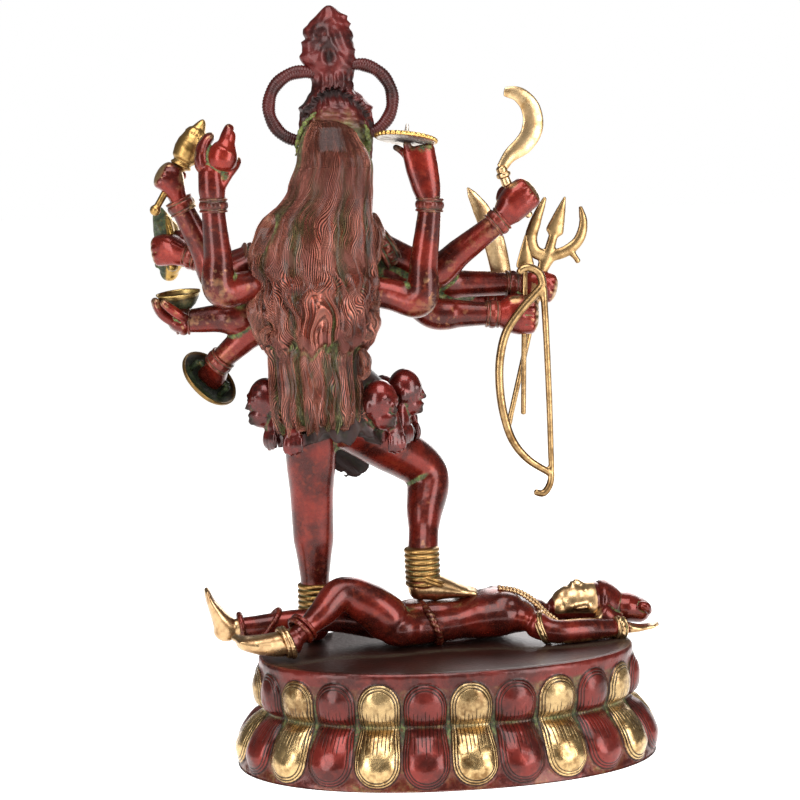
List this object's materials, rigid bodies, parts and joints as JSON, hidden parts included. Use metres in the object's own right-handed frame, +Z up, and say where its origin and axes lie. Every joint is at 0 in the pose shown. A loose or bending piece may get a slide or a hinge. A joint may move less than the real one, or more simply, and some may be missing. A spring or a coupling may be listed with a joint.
{
  "type": "kali figure",
  "caption": "Cast brass group: a many-armed goddess with attributes in the hands stands on a reclining figure over an oval double-lotus base.",
  "frame": {"origin": "centre of the lotus base's underside", "axes": "+Z up, +X towards the standing figure's own left, -Y towards the front of the group"},
  "size_m": [0.5042, 0.2958, 0.757],
  "materials": {
    "lacquered_base": "dark red lacquer on cast brass, petals left gold in turn, green in the hollows",
    "lacquered_figure": "glossy oxblood lacquer on cast brass, rubbed to gold on edges, green in the hollows",
    "bright_brass": "hand-polished cast brass",
    "aged_brass": "cast brass with green-brown patina"
  },
  "bodies": {
    "root": {"lotus_base": "lacquered_base", "shiva_figure": "lacquered_figure", "kali_figure": "lacquered_figure", "chakra_disc": "bright_brass", "sickle_sword": "bright_brass", "straight_sword": "bright_brass", "trident": "bright_brass", "arrow": "bright_brass", "bow": "bright_brass", "mace": "bright_brass", "shield": "aged_brass", "severed_head": "aged_brass", "bowl": "aged_brass"}
  },
  "joints": []
}
